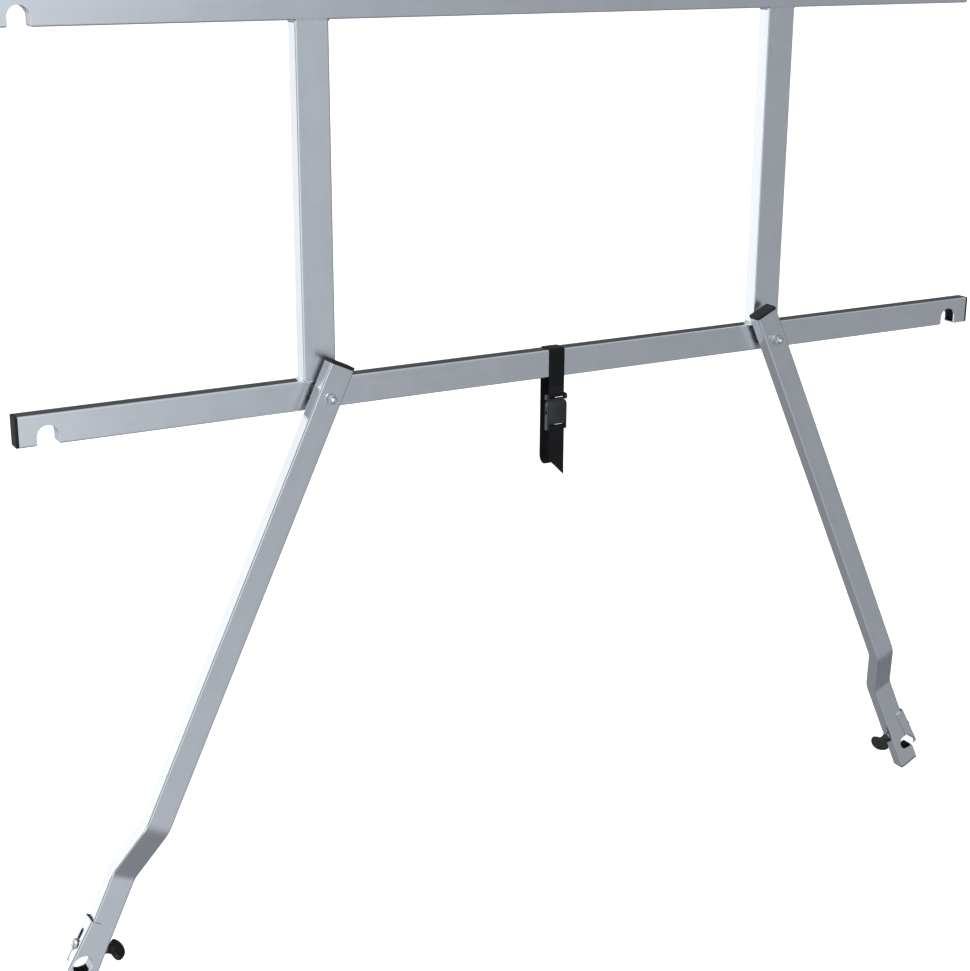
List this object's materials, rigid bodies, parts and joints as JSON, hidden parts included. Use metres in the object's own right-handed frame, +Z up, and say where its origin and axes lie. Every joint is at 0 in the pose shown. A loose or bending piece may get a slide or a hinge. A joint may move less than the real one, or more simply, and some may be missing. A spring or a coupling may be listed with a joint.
{
  "type": "folding scaffold guardrail frame",
  "caption": "Aluminium guardrail frame with rung hooks on both rails, two splayed folding legs ending in clamped claws, and a buckled webbing strap.",
  "frame": {"origin": "on the axis of the rung that the lower rail's hooks sit on, midway between the two hooks", "axes": "+X along the rails, +Y away from the side that the legs fold on, +Z up"},
  "size_m": [1.73, 0.0983, 1.492],
  "materials": {
    "aluminium": "mill finish, lightly brushed",
    "zinc_steel": "bright zinc plated",
    "black_plastic": "satin moulded",
    "nylon": "matt moulded",
    "knob_plastic": "satin moulded",
    "webbing": "woven",
    "buckle_plastic": "satin moulded"
  },
  "bodies": {
    "frame": {"lower_rail": "aluminium", "upper_rail": "aluminium", "left_upright": "aluminium", "right_upright": "aluminium", "lower_left_rail_cap": "black_plastic", "lower_right_rail_cap": "black_plastic", "upper_left_rail_cap": "black_plastic", "upper_right_rail_cap": "black_plastic", "left_pivot_bolt": "zinc_steel", "left_back_washer": "zinc_steel", "left_pivot_spacer": "nylon", "left_front_washer": "zinc_steel", "left_pivot_nut": "zinc_steel", "right_pivot_bolt": "zinc_steel", "right_back_washer": "zinc_steel", "right_pivot_spacer": "nylon", "right_front_washer": "zinc_steel", "right_pivot_nut": "zinc_steel", "strap_front_strand": "webbing", "strap_loop": "webbing", "buckle_socket": "buckle_plastic", "buckle_plug": "buckle_plastic"},
    "left_leg": {"left_leg": "aluminium", "left_leg_top_cap": "black_plastic", "left_foot_plug": "black_plastic", "left_pivot_bush": "zinc_steel", "left_clamp_bolt": "zinc_steel", "left_knob_washer": "zinc_steel"},
    "left_jaw": {"left_jaw": "aluminium"},
    "left_knob": {"left_thumb_knob": "knob_plastic", "left_knob_insert": "zinc_steel"},
    "right_leg": {"right_leg": "aluminium", "right_leg_top_cap": "black_plastic", "right_foot_plug": "black_plastic", "right_pivot_bush": "zinc_steel", "right_clamp_bolt": "zinc_steel", "right_knob_washer": "zinc_steel"},
    "right_jaw": {"right_jaw": "aluminium"},
    "right_knob": {"right_thumb_knob": "knob_plastic", "right_knob_insert": "zinc_steel"},
    "left_prong": {"left_release_prong": "buckle_plastic"},
    "right_prong": {"right_release_prong": "buckle_plastic"}
  },
  "joints": [
    {"name": "left_leg_fold", "type": "hinge", "parent": "frame", "child": "left_leg", "pos_m": [-0.409, 0, 0.0095], "axis": [0, 1, 0], "range_deg": [-108, 30]},
    {"name": "left_jaw_slide", "type": "slide", "parent": "left_leg", "child": "left_jaw", "axis": [0.4947, 0, 0.8691], "range_m": [-0.008, 0.0243]},
    {"name": "left_knob_turn", "type": "hinge", "parent": "left_leg", "child": "left_knob", "pos_m": [-0.79999, 0.015, -0.82328], "axis": [0.9052, 0, -0.425], "continuous": true},
    {"name": "right_leg_fold", "type": "hinge", "parent": "frame", "child": "right_leg", "pos_m": [0.409, 0, 0.0095], "axis": [0, 1, 0], "range_deg": [-30, 108]},
    {"name": "right_jaw_slide", "type": "slide", "parent": "right_leg", "child": "right_jaw", "axis": [-0.4947, 0, 0.8691], "range_m": [-0.008, 0.0243]},
    {"name": "right_knob_turn", "type": "hinge", "parent": "right_leg", "child": "right_knob", "pos_m": [0.79999, 0.015, -0.82328], "axis": [-0.9052, 0, -0.425], "continuous": true},
    {"name": "left_prong_press", "type": "hinge", "parent": "frame", "child": "left_prong", "pos_m": [-0.0103, -0.0125, -0.0508], "axis": [0, -1, 0], "range_deg": [0, 6], "stiffness_Nm_per_rad": 0.3},
    {"name": "right_prong_press", "type": "hinge", "parent": "frame", "child": "right_prong", "pos_m": [0.0079, -0.0125, -0.0508], "axis": [0, 1, 0], "range_deg": [0, 6], "stiffness_Nm_per_rad": 0.3}
  ]
}
